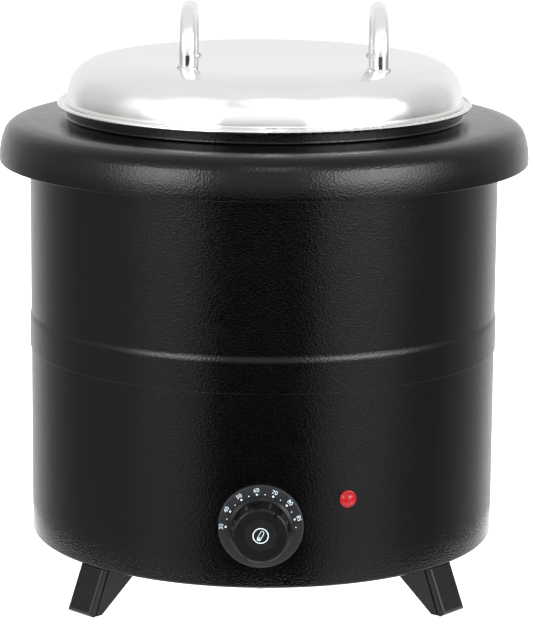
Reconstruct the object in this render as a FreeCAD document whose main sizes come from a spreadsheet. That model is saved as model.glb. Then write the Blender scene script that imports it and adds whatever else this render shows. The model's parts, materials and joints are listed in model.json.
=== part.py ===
import FreeCAD, Part
import math
import os
import Sketcher

# Wet-heat soup kettle: a painted steel body on four splayed feet, a water well with an electric
# element under it, a lift-out soup pot and a domed lid with two handles.
# Millimetres, +Z up, origin on the floor under the body's axis, the control knob faces -Y.

Vector = FreeCAD.Vector
Rotation = FreeCAD.Rotation

AXIS_X = Vector(1, 0, 0)
AXIS_Z = Vector(0, 0, 1)

# alias, value (mm, or degrees where the note says so), note
SIZES = (
    ("foot_height", 34.0, "floor to the casing's lower edge"),
    ("foot_width", 26.4, "width of a foot's outer face"),
    ("foot_turn", 2.1, "degrees the set of feet is turned to the right"),
    ("foot_spread", 46.9, "degrees from the middle to a front foot, and at the rear"),
    ("foot_top_out", 176.4, "outer face of a foot at its top, from the axis"),
    ("foot_low_out", 190.9, "outer face of a foot at the floor"),
    ("foot_low_in", 178.0, "inner face of a foot at the floor"),
    ("foot_top_in", 132.0, "inner face of a foot at its top"),
    ("foot_wall", 4.2, "wall of a moulded foot"),
    ("sheet", 0.8, "steel sheet of the casings, well and pot"),
    ("plate_sheet", 1.2, "steel sheet of the base plate"),
    ("casing_radius", 176.9, "outside of the casing"),
    ("casing_bend", 2.0, "bend at the casing's lower and upper flange"),
    ("casing_top", 350.0, "upper casing's top flange above the floor"),
    ("flange_reach", 11.0, "width of the casing's lower flange"),
    ("lap_low", 177.8, "lower edge of the upper casing's lap"),
    ("lap_high", 200.3, "height where the lap band starts to step in"),
    ("lap_edge", 0.6, "rounding of the lap's lower edge"),
    ("step_turn", 19.3, "steepest slope, in degrees, of the step above the lap"),
    ("lap_gap", 0.1, "paint gap in the lap"),
    ("lap_hidden", 196.0, "top edge of the lower casing, inside the lap"),
    ("collar_radius", 199.8, "outside of the collar's skirt"),
    ("collar_low", 320.0, "lower edge of the collar's skirt"),
    ("collar_hem", 3.2, "height of the skirt's folded hem"),
    ("collar_sheet", 1.0, "steel sheet of the collar"),
    ("skirt_bend", 52.0, "radius of the skirt's bow"),
    ("shoulder_bend", 14.0, "radius of the shoulder"),
    ("crown_bend", 40.0, "radius where the shoulder runs out flat"),
    ("skirt_turn", 20.0, "degrees the skirt has turned where the shoulder starts"),
    ("shoulder_turn", 72.0, "degrees where the shoulder ends"),
    ("crown_turn", 87.0, "degrees where the collar's top becomes a cone"),
    ("neck_radius", 149.3, "outside of the neck"),
    ("neck_top", 361.4, "top of the neck above the floor"),
    ("neck_lip", 2.8, "width of the neck's inward lip"),
    ("well_radius", 145.3, "outside of the water well"),
    ("well_floor", 142.0, "underside of the water well above the floor"),
    ("well_bend", 12.0, "bend between the well's wall and floor"),
    ("pot_radius", 136.0, "outside of the soup pot"),
    ("pot_floor", 160.0, "underside of the soup pot above the floor"),
    ("pot_bend", 15.0, "bend between the pot's wall and floor"),
    ("rim_radius", 156.4, "outside of the pot's rolled rim"),
    ("rim_bead", 1.7, "radius of the roll at the rim's edge"),
    ("lid_sheet", 0.7, "steel sheet of the lid"),
    ("lid_radius", 149.2, "outside of the lid's dome at its hem"),
    ("lid_hem_radius", 150.5, "outside of the lid's rolled hem"),
    ("lid_hem_height", 3.0, "height of the lid's rolled hem"),
    ("lid_side_bend", 36.0, "radius of the lid's lower side"),
    ("lid_shoulder_bend", 26.0, "radius of the lid's shoulder"),
    ("lid_crown_bend", 120.0, "radius where the lid runs out flat"),
    ("lid_side_turn", 20.0, "degrees the side has turned where the shoulder starts"),
    ("lid_shoulder_turn", 77.7, "degrees where the lid's shoulder ends"),
    ("lid_dish", 1.9, "depth of the dish in the lid's top"),
    ("handle_rod", 12.6, "thickness of the lid handles"),
    ("handle_reach", 88.0, "distance between the legs of one handle"),
    ("handle_rise", 43.0, "top of a handle above the lid's top"),
    ("handle_bend", 27.0, "centre-line radius of a handle's two bends"),
    ("handle_spread", 140.4, "distance between the two handles"),
    ("handle_shift", 14.1, "handles' middle to the right of the lid's centre"),
    ("handle_forward", 30.0, "handles' middle in front of the lid's centre"),
    ("dial_height", 79.9, "thermostat shaft above the floor"),
    ("dial_rise", 1.2, "dial plate's centre above the shaft"),
    ("dial_radius", 30.8, "outside of the dial plate"),
    ("dial_front", 2.6, "dial plate's face in front of the casing"),
    ("knob_radius", 23.8, "outside of the knob's skirt"),
    ("knob_front", 22.4, "knob's face in front of the casing"),
    ("knob_grip", 21.6, "radius over the knob's grip"),
    ("knob_flute", 7.0, "radius of a finger flute in the knob"),
    ("shaft_radius", 3.0, "thermostat shaft"),
    ("shaft_play", 0.05, "running clearance round the shaft"),
    ("lamp_height", 98.8, "indicator lamp's centre above the floor"),
    ("lamp_angle", 20.6, "degrees of the lamp to the right of the dial"),
    ("lamp_radius", 6.0, "radius of the lamp's lens"),
    ("ring_radius", 70.0, "heating element's centre line"),
    ("ring_rod", 6.8, "thickness of the heating element"),
    ("ring_sweep", 320.0, "degrees that the heating element goes round"),
    ("spreader_radius", 95.0, "heat spreader"),
    ("spreader_sheet", 2.5, "thickness of the heat spreader"),
    ("stud_radius", 2.5, "element studs and the earth stud"),
    ("gland_height", 66.0, "supply cord gland above the floor"),
    ("gland_bore", 4.0, "radius of the gland's bore for the cord"),
)


class Length:
    """A number together with the sheet expression that gives it."""

    def __init__(self, value, text):
        self.value = value
        self.text = text

    def combine(self, sign, other, value):
        return Length(value, f"({self.text} {sign} {other.text})")

    def __add__(self, other):
        other = length(other)
        return self.combine("+", other, self.value + other.value)

    def __sub__(self, other):
        other = length(other)
        return self.combine("-", other, self.value - other.value)

    def __mul__(self, other):
        other = length(other)
        return self.combine("*", other, self.value * other.value)

    def __truediv__(self, other):
        other = length(other)
        return self.combine("/", other, self.value / other.value)

    def __neg__(self):
        return Length(-self.value, f"(-1 * {self.text})")

    def __radd__(self, other):
        return length(other) + self

    def __rsub__(self, other):
        return length(other) - self

    def __rmul__(self, other):
        return length(other) * self


def length(number):
    if isinstance(number, Length):
        return number
    return Length(float(number), f"({float(number)})")


def sine(angle):
    return Length(math.sin(math.radians(angle.value)), f"sin({angle.text} * 1 deg)")


def cosine(angle):
    return Length(math.cos(math.radians(angle.value)), f"cos({angle.text} * 1 deg)")


class Sizes:
    """The sheet's cells as Length attributes."""


doc = FreeCAD.newDocument("soup_kettle")
sheet = doc.addObject("Spreadsheet::Sheet", "Dimensions")
size = Sizes()
for row, (alias, number, note) in enumerate(SIZES, start=1):
    sheet.set(f"A{row}", alias)
    sheet.set(f"B{row}", str(number))
    sheet.set(f"C{row}", note)
    sheet.setAlias(f"B{row}", alias)
    setattr(size, alias, Length(number, f"Dimensions.{alias}"))
doc.recompute()

nodes = []


# ---------------------------------------------------------------- sketches and features

def bind(item, path, number):
    """Drives one property from the sheet."""
    item.setExpression(path, length(number).text)


def put(item, base, rotation):
    """Puts an object at base, turned by rotation; what is a Length is driven by the sheet."""
    item.Placement = FreeCAD.Placement(
        Vector(*[length(number).value for number in base]), rotation)
    for letter, number in zip("xyz", base):
        if isinstance(number, Length):
            bind(item, f"Placement.Base.{letter}", number)
    return item


def place(item, base, axis=AXIS_Z, angle=0.0):
    return put(item, base, Rotation(axis, angle))


def as_node(item, label):
    item.Label = label
    nodes.append(item)
    return item


def new_body(name):
    return doc.addObject("PartDesign::Body", name)


def new_sketch(body, name, role, lift=None):
    sketch = body.newObject("Sketcher::SketchObject", name)
    plane = [item for item in body.Origin.OriginFeatures if item.Role == role][0]
    sketch.AttachmentSupport = [(plane, "")]
    sketch.MapMode = "FlatFace"
    if lift is not None:
        lift = length(lift)
        sketch.AttachmentOffset = FreeCAD.Placement(Vector(0, 0, lift.value), Rotation())
        bind(sketch, "AttachmentOffset.Base.z", lift)
    return sketch


def pin_point(sketch, geometry, place_on, across, along):
    """Fixes one point of a sketch at (across, along), each driven by the sheet."""
    for kind, other_axis, number in (("DistanceX", -2, across), ("DistanceY", -1, along)):
        if number.value == 0.0:
            sketch.addConstraint(
                Sketcher.Constraint("PointOnObject", geometry, place_on, other_axis))
            continue
        index = sketch.addConstraint(
            Sketcher.Constraint(kind, -1, 1, geometry, place_on, number.value))
        bind(sketch, f"Constraints[{index}]", number)


def arc_between(start, finish, bend):
    """Arc from start to finish; a positive bend turns left. Says too if it runs backwards."""
    chord = finish - start
    middle = (start + finish) * 0.5
    left = Vector(-chord.y, chord.x, 0) / chord.Length
    depth = math.sqrt(max(bend * bend - chord.Length ** 2 / 4, 0.0))
    centre = middle + left * math.copysign(depth, bend)
    circle = Part.Circle(centre, AXIS_Z, abs(bend))
    begin = math.atan2(start.y - centre.y, start.x - centre.x)
    end = math.atan2(finish.y - centre.y, finish.x - centre.x)
    if bend > 0:
        return Part.ArcOfCircle(circle, begin, end), (1, 2)
    return Part.ArcOfCircle(circle, end, begin), (2, 1)


def path(sketch, corners, closed=True):
    """Lines and arcs through corners (x, y) or (x, y, bend of the arc that leaves it)."""
    corners = [tuple(length(number) for number in corner) for corner in corners]
    points = [Vector(corner[0].value, corner[1].value, 0) for corner in corners]
    legs = []
    steps = len(corners) if closed else len(corners) - 1
    for step in range(steps):
        corner = corners[step]
        start = points[step]
        finish = points[(step + 1) % len(points)]
        if len(corner) == 2:
            index = sketch.addGeometry(Part.LineSegment(start, finish), False)
            legs.append((index, 1, 2))
            continue
        arc, (first, last) = arc_between(start, finish, corner[2].value)
        index = sketch.addGeometry(arc, False)
        legs.append((index, first, last))
    for step, (index, first, last) in enumerate(legs):
        if step or closed:
            before = legs[step - 1]
            sketch.addConstraint(
                Sketcher.Constraint("Coincident", before[0], before[2], index, first))
        pin_point(sketch, index, first, corners[step][0], corners[step][1])
        if len(corners[step]) == 3:
            bend = corners[step][2]
            radius = bend if bend.value > 0 else -bend
            row = sketch.addConstraint(Sketcher.Constraint("Radius", index, radius.value))
            bind(sketch, f"Constraints[{row}]", radius)
    if not closed:
        index, first, last = legs[-1]
        pin_point(sketch, index, last, corners[-1][0], corners[-1][1])


def circle_in(sketch, across, along, radius):
    across, along, radius = length(across), length(along), length(radius)
    centre = Vector(across.value, along.value, 0)
    index = sketch.addGeometry(Part.Circle(centre, AXIS_Z, radius.value), False)
    pin_point(sketch, index, 3, across, along)
    row = sketch.addConstraint(Sketcher.Constraint("Radius", index, radius.value))
    bind(sketch, f"Constraints[{row}]", radius)


def turned(name, corners):
    """A body turned about Z from a closed half section (radius, height)."""
    body = new_body(name)
    sketch = new_sketch(body, name + "_section", "XZ_Plane")
    path(sketch, corners)
    turn = body.newObject("PartDesign::Revolution", name + "_turned")
    turn.Profile = sketch
    turn.ReferenceAxis = (sketch, ["V_Axis"])
    turn.Angle = 360.0
    body.Tip = turn
    return body


def padded(body, name, role, corners, depth, midplane=False, lift=None):
    """A pad in body from a closed outline."""
    sketch = new_sketch(body, name + "_outline", role, lift)
    path(sketch, corners)
    pad = body.newObject("PartDesign::Pad", name)
    pad.Profile = sketch
    pad.Length = length(depth).value
    bind(pad, "Length", depth)
    pad.Midplane = midplane
    body.Tip = pad
    return pad


def edges_where(shape, test):
    return [f"Edge{number}" for number, edge in enumerate(shape.Edges, start=1) if test(edge)]


def cylinder(name, radius, height, base=(0, 0, 0), axis=AXIS_Z, angle=0.0):
    item = doc.addObject("Part::Cylinder", name)
    bind(item, "Radius", radius)
    bind(item, "Height", height)
    return place(item, base, axis, angle)


def block(name, sides, base=(0, 0, 0)):
    """A box with its low corner at base."""
    item = doc.addObject("Part::Box", name)
    for path_name, number in zip(("Length", "Width", "Height"), sides):
        bind(item, path_name, number)
    return place(item, base)


def fused(name, items):
    joined = doc.addObject("Part::MultiFuse", name)
    joined.Shapes = items
    return joined


def grouped(name, items):
    """Separate solids kept together as one node."""
    group = doc.addObject("Part::Compound", name)
    group.Links = items
    return group


def cut_by(name, base, tools):
    cut = doc.addObject("Part::Cut", name)
    cut.Base = base
    cut.Tool = tools[0] if len(tools) == 1 else grouped(name + "_tools", tools)
    return cut


def polar(radius, angle, height):
    """Base at radius and angle, the angle in degrees clockwise from the front (-Y)."""
    turn = length(angle)
    return (length(radius) * sine(turn), -(length(radius) * cosine(turn)), length(height))


def tube_along(name, points, thickness, bend):
    """A round rod along straight runs joined by tangent arcs of radius bend."""
    points = [Vector(*point) for point in points]
    edges = []
    start = points[0]
    for before, corner, after in zip(points, points[1:], points[2:]):
        arrive = (corner - before).normalize()
        leave = (after - corner).normalize()
        turn = arrive.getAngle(leave)
        setback = bend * math.tan(turn / 2)
        inward = (leave - arrive).normalize()
        centre = corner + inward * (bend / math.cos(turn / 2))
        begin = corner - arrive * setback
        finish = corner + leave * setback
        middle = centre - inward * bend
        edges.append(Part.LineSegment(start, begin).toShape())
        edges.append(Part.Arc(begin, middle, finish).toShape())
        start = finish
    edges.append(Part.LineSegment(start, points[-1]).toShape())
    first = (points[1] - points[0]).normalize()
    ring = Part.Wire(Part.makeCircle(thickness / 2, points[0], first))
    item = doc.addObject("Part::Feature", name)
    item.Shape = Part.Wire(edges).makePipeShell([ring], True, False)
    item.Placement = FreeCAD.Placement()
    return item


# ---------------------------------------------------------------- places that nothing drives

COLLAR_STUD_ANGLES = (45, 135, 225, 315)
COLLAR_STUD_CIRCLE = 170.6
BASE_SCREW_ANGLES = (0, 90, 180, 270)
BASE_SCREW_CIRCLE = 169.5
FOOT_SCREW_RADII = (141.0, 158.0)
VENT_COUNT = 12
STUD_ANGLES = (60, 180, 300)
STUD_CIRCLE = 50.0
CLAMP_SHEET = 1.2
PIN_BEND = 9.0
PIN_LENGTH = 14.0
THERMOSTAT_FACE = 172.0
THERMOSTAT_PLATE = 1.5
DIAL_SCREW_X = 14.0
BULB_ANGLE = 27.0
KNOB_BACK = 3.2
KNOB_CAP_RADIUS = 11.8
KNOB_POINTER = -35.0
KNOB_NOTCH = 1.4
TERMINAL_Y = 118.0
TERMINAL_SCREW_X = (-76.0, -44.0)
EARTH_X = 34.0
EARTH_Y = 122.0
WIRE = 2.8
WIRE_BEND = 9.0


# ---------------------------------------------------------------- driven heights and radii

edge = size.foot_height
flange_z = size.neck_top + size.sheet
rim_top = flange_z + size.sheet
lid_low = rim_top
plate_low = edge + size.sheet
plate_top = plate_low + size.plate_sheet


# ---------------------------------------------------------------- casing

def make_lower_casing():
    radius = size.casing_radius
    inner = radius - size.sheet
    bend = size.casing_bend
    shell = turned("lower_casing_shell", [
        (radius - size.flange_reach, edge),
        (radius - bend, edge, bend),
        (radius, edge + bend),
        (radius, size.lap_hidden),
        (inner, size.lap_hidden),
        (inner, edge + bend, -(bend - size.sheet)),
        (radius - bend, edge + size.sheet),
        (radius - size.flange_reach, edge + size.sheet),
    ])
    hole_depth = 14
    tools = [cylinder("bushing_hole", 5.4, hole_depth,
                      (0, -(radius - 6), size.dial_height), AXIS_X, 90)]
    for side in (-1, 1):
        tools.append(cylinder("dial_screw_hole", 2.2, hole_depth,
                              (DIAL_SCREW_X * side, -(radius - 6), size.dial_height), AXIS_X, 90))
    lamp = cylinder("lamp_hole", 5.2, hole_depth)
    aim_outward(lamp, radius - 6, size.lamp_angle, size.lamp_height)
    gland = cylinder("gland_hole", 8.2, hole_depth)
    aim_outward(gland, radius - 8, 180, size.gland_height)
    tools += [lamp, gland]
    tools += [cylinder("base_screw_hole", 1.7, 4, polar(BASE_SCREW_CIRCLE, angle, edge - 1))
              for angle in BASE_SCREW_ANGLES]
    as_node(cut_by("lower_casing_cut", shell, tools), "lower_casing")


def aim_outward(item, radius, angle, height):
    """Turns an object's +Z to point out of the casing at angle, and puts it at radius."""
    outward = Rotation(AXIS_Z, length(angle).value) * Rotation(AXIS_X, 90)
    return put(item, polar(radius, angle, height), outward)


def make_upper_casing():
    radius = size.casing_radius
    inner = radius - size.sheet
    bend = size.casing_bend
    lap_in = radius + size.lap_gap
    lap_out = lap_in + size.sheet
    slope = size.step_turn
    step_bend = (lap_out - radius) / (2 * (1 - cosine(slope)))
    step_middle = (lap_out - step_bend * (1 - cosine(slope)),
                   size.lap_high + step_bend * sine(slope))
    step_top = size.lap_high + 2 * step_bend * sine(slope)
    shell = turned("upper_casing_shell", [
        (lap_in, size.lap_low),
        (lap_out - size.lap_edge, size.lap_low, size.lap_edge),
        (lap_out, size.lap_low + size.lap_edge),
        (lap_out, size.lap_high, step_bend),
        step_middle + (-step_bend,),
        (radius, step_top),
        (radius, size.casing_top - bend, bend),
        (radius - bend, size.casing_top),
        (radius - 10, size.casing_top),
        (radius - 10, size.casing_top - size.sheet),
        (radius - bend, size.casing_top - size.sheet, -(bend - size.sheet)),
        (inner, size.casing_top - bend),
        (inner, step_top, step_bend + size.sheet),
        (step_middle[0] - size.sheet * cosine(slope), step_middle[1] - size.sheet * sine(slope),
         size.sheet - step_bend),
        (lap_in, size.lap_high),
    ])
    tools = [cylinder("collar_stud_hole", 2.2, 4,
                      polar(COLLAR_STUD_CIRCLE, angle, size.casing_top - 3))
             for angle in COLLAR_STUD_ANGLES]
    as_node(cut_by("upper_casing_cut", shell, tools), "upper_casing")


def make_top_collar():
    sheet_t = size.collar_sheet
    radius = size.collar_radius
    low = size.collar_low
    one = size.skirt_turn
    two = size.shoulder_turn
    three = size.crown_turn
    skirt = (radius, low + size.collar_hem)
    shoulder = (skirt[0] - size.skirt_bend * (1 - cosine(one)),
                skirt[1] + size.skirt_bend * sine(one))
    crown = (shoulder[0] - size.shoulder_bend * (cosine(one) - cosine(two)),
             shoulder[1] + size.shoulder_bend * (sine(two) - sine(one)))
    flat = (crown[0] - size.crown_bend * (cosine(two) - cosine(three)),
            crown[1] + size.crown_bend * (sine(three) - sine(two)))
    foot_bend = 2
    neck = size.neck_radius
    foot_x = neck + foot_bend
    foot_z = flat[1] + (flat[0] - foot_x) * cosine(three) / sine(three)
    top = size.neck_top
    lip_bend = 1.5
    collar = turned("top_collar_body", [
        (radius - sheet_t, low, sheet_t),
        (radius, low + sheet_t),
        skirt + (size.skirt_bend,),
        shoulder + (size.shoulder_bend,),
        crown + (size.crown_bend,),
        flat,
        (foot_x, foot_z, -foot_bend),
        (neck, foot_z + foot_bend),
        (neck, top - lip_bend, lip_bend),
        (neck - lip_bend, top),
        (neck - size.neck_lip, top),
        (neck - size.neck_lip, top - sheet_t),
        (neck - lip_bend, top - sheet_t, -(lip_bend - sheet_t)),
        (neck - sheet_t, top - lip_bend),
        (neck - sheet_t, foot_z + foot_bend, foot_bend + sheet_t),
        (foot_x, foot_z - sheet_t),
        (flat[0] - sheet_t * cosine(three), flat[1] - sheet_t * sine(three),
         -(size.crown_bend - sheet_t)),
        (crown[0] - sheet_t * cosine(two), crown[1] - sheet_t * sine(two),
         -(size.shoulder_bend - sheet_t)),
        (shoulder[0] - sheet_t * cosine(one), shoulder[1] - sheet_t * sine(one),
         -(size.skirt_bend - sheet_t)),
        (radius - sheet_t, low + size.collar_hem),
        (radius - 2 * sheet_t, low + size.collar_hem),
        (radius - 2 * sheet_t, low + sheet_t, sheet_t),
    ])
    as_node(collar, "top_collar")


def make_collar_fixings():
    """Studs welded under the collar, through the casing's top flange, with a nut on each."""
    studs = []
    nuts = []
    under = size.casing_top - size.sheet
    for angle in COLLAR_STUD_ANGLES:
        studs.append(cylinder("collar_stud", 2.0, 13.5,
                              polar(COLLAR_STUD_CIRCLE, angle, size.casing_top - 12.9)))
        nuts.append(hex_nut("collar_nut", polar(COLLAR_STUD_CIRCLE, angle, under - 3.2),
                            across=7.0, height=3.2, bore=2.1))
    as_node(grouped("collar_stud_set", studs), "collar_studs")
    as_node(grouped("collar_nut_set", nuts), "collar_nuts")


# ---------------------------------------------------------------- base and feet

def foot_angles():
    spread = size.foot_spread
    turn = size.foot_turn
    return [turn + spread, turn + 180 - spread, turn + 180 + spread, turn + 360 - spread]


def make_base_plate():
    disc = cylinder("base_disc", size.casing_radius - size.casing_bend - 0.2,
                    size.plate_sheet, (0, 0, plate_low))
    tools = []
    for number in range(VENT_COUNT):
        turn = Rotation(AXIS_Z, 360 / VENT_COUNT * number)
        corner = turn.multVec(Vector(-2.5, 60, plate_low.value - 1))
        tools.append(put(block("vent_slot", (5, 34, 4)), corner, turn))
    for angle in foot_angles():
        tools += [cylinder("foot_screw_hole", 2.2, 4, polar(radius, angle, plate_low - 1))
                  for radius in FOOT_SCREW_RADII]
    tools += [cylinder("base_screw_thread", 1.6, 4, polar(BASE_SCREW_CIRCLE, angle, plate_low - 1))
              for angle in BASE_SCREW_ANGLES]
    tools.append(cylinder("earth_hole", 2.6, 4, (EARTH_X, EARTH_Y, plate_low - 1)))
    tools += [cylinder("terminal_hole", 1.7, 4, (x, TERMINAL_Y, plate_low - 1))
              for x in TERMINAL_SCREW_X]
    as_node(cut_by("base_plate_cut", disc, tools), "base_plate")
    screws = []
    for angle in BASE_SCREW_ANGLES:
        shank = cylinder("base_screw_shank", 1.5, 6, polar(BASE_SCREW_CIRCLE, angle, edge - 0.5))
        head = cylinder("base_screw_head", 3.2, 2, polar(BASE_SCREW_CIRCLE, angle, edge - 2))
        screws.append(fused("base_screw", [shank, head]))
    as_node(grouped("base_screw_set", screws), "base_plate_screws")


def make_foot(name, angle):
    """A moulded foot that splays out: outer face plate, a groove each side, then the core."""
    body = new_body(name + "_moulding")
    top_out = size.foot_top_out
    low_out = size.foot_low_out
    wall = size.foot_wall
    groove = 2.4
    step = size.casing_radius - size.flange_reach - 1
    padded(body, name + "_face", "XZ_Plane", [
        (top_out - wall, edge), (low_out - wall - 1, 0), (low_out, 0), (top_out, edge)],
        size.foot_width, midplane=True)
    for part, gap, narrower in (("web", 2, 4.4), ("core", wall + groove, 1.6)):
        core = padded(body, f"{name}_{part}", "XZ_Plane", [
            (size.foot_top_in, edge + size.sheet), (size.foot_low_in, 0),
            (low_out - gap - 0.6, 0), (top_out - gap, edge),
            (step, edge), (step, edge + size.sheet)],
            size.foot_width - narrower, midplane=True)
    doc.recompute()

    def on_outer_face(line):
        """The two long corners of the outer face, and its edge on the floor."""
        ends = [vertex.Point for vertex in line.Vertexes]
        if len(ends) != 2 or line.Length < 20:
            return False
        on_floor = all(end.x > low_out.value - 0.1 for end in ends)
        corner = (abs(ends[0].y - ends[1].y) < 0.01
                  and abs(abs(ends[0].y) - size.foot_width.value / 2) < 0.01
                  and min(end.x for end in ends) > top_out.value - 0.1)
        return on_floor or corner

    rounding = body.newObject("PartDesign::Fillet", name + "_rounding")
    rounding.Base = (core, edges_where(core.Shape, on_outer_face))
    rounding.Radius = 3.2
    body.Tip = rounding
    doc.recompute()
    solid_volume = rounding.Shape.Volume
    hollow = new_sketch(body, name + "_hollow_outline", "XZ_Plane")
    path(hollow, [(size.foot_low_in - 30, wall), (low_out - wall - 2.5, wall),
                  (low_out - wall - 10, 22), (size.foot_top_in, 22)])
    pocket = body.newObject("PartDesign::Pocket", name + "_hollow")
    pocket.Profile = hollow
    pocket.Midplane = True
    pocket.Length = 17
    body.Tip = pocket
    doc.recompute()
    if pocket.Shape.Volume >= solid_volume:
        raise RuntimeError(name + ": the hollow cuts nothing")
    drills = [cylinder(name + "_drill", 1.95, 9, (radius, 0, edge - 7))
              for radius in FOOT_SCREW_RADII]
    foot = cut_by(name + "_drilled", body, drills)
    # the foot's local +X points outward; -Y is the front
    as_node(place(foot, (0, 0, 0), AXIS_Z, angle.value - 90), name)


def make_feet():
    names = ("foot_front_right", "foot_rear_right", "foot_rear_left", "foot_front_left")
    screws = []
    for name, angle in zip(names, foot_angles()):
        make_foot(name, angle)
        for radius in FOOT_SCREW_RADII:
            shank = cylinder("foot_screw_shank", 1.9, plate_top - edge + 6,
                             polar(radius, angle, edge - 6))
            head = cylinder("foot_screw_head", 3.7, 2.4, polar(radius, angle, plate_top))
            screws.append(fused("foot_screw", [shank, head]))
    as_node(grouped("foot_screw_set", screws), "foot_screws")


# ---------------------------------------------------------------- well, pot and lid

def vessel(name, radius, floor, bend, brim_bend, brim_z, brim):
    """A deep-drawn vessel: floor, wall and an outward brim ending in the given corners."""
    sheet_t = size.sheet
    inner = radius - sheet_t
    return turned(name, [
        (0, floor),
        (radius - bend, floor, bend),
        (radius, floor + bend),
        (radius, brim_z - brim_bend, -length(brim_bend)),
        (radius + brim_bend, brim_z),
        *brim,
        (radius + brim_bend, brim_z + sheet_t, length(brim_bend) + sheet_t),
        (inner, brim_z - brim_bend),
        (inner, floor + bend, -(bend - sheet_t)),
        (radius - bend, floor + sheet_t),
        (0, floor + sheet_t),
    ])


def make_water_well():
    brim = [(size.neck_radius, size.neck_top), (size.neck_radius, flange_z)]
    well = vessel("water_well_drawn", size.well_radius, size.well_floor, size.well_bend,
                  1.0, size.neck_top, brim)
    as_node(well, "water_well")


def make_soup_pot():
    bead = size.rim_bead
    centre = size.rim_radius - bead
    middle = flange_z + size.sheet / 2
    root = centre - 1.652
    brim = [(root, flange_z, bead), (size.rim_radius, middle, bead), (root, rim_top)]
    pot = vessel("soup_pot_drawn", size.pot_radius, size.pot_floor, size.pot_bend,
                 3.0, flange_z, brim)
    as_node(pot, "soup_pot")


def lid_corners():
    """Outer corners of the dome with the direction of its normal, hem to crown."""
    one = size.lid_side_turn
    two = size.lid_shoulder_turn
    side = (size.lid_radius, lid_low + size.lid_hem_height)
    shoulder = (side[0] - size.lid_side_bend * (1 - cosine(one)),
                side[1] + size.lid_side_bend * sine(one))
    crown = (shoulder[0] - size.lid_shoulder_bend * (cosine(one) - cosine(two)),
             shoulder[1] + size.lid_shoulder_bend * (sine(two) - sine(one)))
    flat = (crown[0] - size.lid_crown_bend * cosine(two),
            crown[1] + size.lid_crown_bend * (1 - sine(two)))
    return side, shoulder, crown, flat


def dome_bend(radius, rise):
    """Radius of the sphere that rises so much over a circle of this radius."""
    return radius * radius / (2 * rise) + rise / 2


def dish_bend():
    return dome_bend(lid_corners()[3][0], size.lid_dish)


def make_lid():
    sheet_t = size.lid_sheet
    one = size.lid_side_turn
    two = size.lid_shoulder_turn
    side, shoulder, crown, flat = lid_corners()
    hem = size.lid_hem_radius
    roll = 1.0
    shell = turned("lid_spun", [
        (side[0] - 1.6, lid_low),
        (hem - roll, lid_low, roll),
        (hem, lid_low + roll),
        (hem, side[1] - roll, roll),
        (hem - roll, side[1]),
        side + (size.lid_side_bend,),
        shoulder + (size.lid_shoulder_bend,),
        crown + (size.lid_crown_bend,),
        flat + (-dish_bend(),),
        (0, flat[1] - size.lid_dish),
        (0, flat[1] - size.lid_dish - sheet_t, dish_bend() + sheet_t),
        (flat[0], flat[1] - sheet_t, -(size.lid_crown_bend - sheet_t)),
        (crown[0] - sheet_t * cosine(two), crown[1] - sheet_t * sine(two),
         -(size.lid_shoulder_bend - sheet_t)),
        (shoulder[0] - sheet_t * cosine(one), shoulder[1] - sheet_t * sine(one),
         -(size.lid_side_bend - sheet_t)),
        (side[0] - sheet_t, side[1]),
        (side[0] - 1.6, side[1]),
    ])
    as_node(shell, "lid_shell")
    return flat


def make_lid_handles(flat):
    """Two bent rods, each cut to sit on the dished top of the lid."""
    half = size.handle_reach / 2
    rod = size.handle_rod / 2
    foot_z = flat[1] - size.lid_dish - 1
    top = flat[1] + size.handle_rise - rod
    bend = size.handle_bend
    crown = lid_corners()[2]
    under = turned("lid_underfill", [
        (0, flat[1] - size.lid_dish, dish_bend()),
        flat + (-size.lid_crown_bend,),
        crown,
        (crown[0], flat[1] - 20),
        (0, flat[1] - 20),
    ])
    for side, name in ((-1, "lid_handle_left"), (1, "lid_handle_right")):
        body = new_body(name + "_rod")
        route = new_sketch(body, name + "_route", "YZ_Plane")
        path(route, [
            (-half, foot_z),
            (-half, top - bend, -bend),
            (bend - half, top),
            (half - bend, top, -bend),
            (half, top - bend),
            (half, foot_z),
        ], closed=False)
        ring = new_sketch(body, name + "_section", "XY_Plane", lift=foot_z)
        circle_in(ring, 0, -half, rod)
        doc.recompute()
        pipe = body.newObject("PartDesign::AdditivePipe", name + "_bent")
        pipe.Profile = ring
        pipe.Spine = (route, [f"Edge{number}" for number in range(1, 6)])
        body.Tip = pipe
        place(body, (size.handle_shift + side * size.handle_spread / 2,
                     -size.handle_forward, 0))
        as_node(cut_by(name + "_fitted", body, [under]), name)


# ---------------------------------------------------------------- heating

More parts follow.
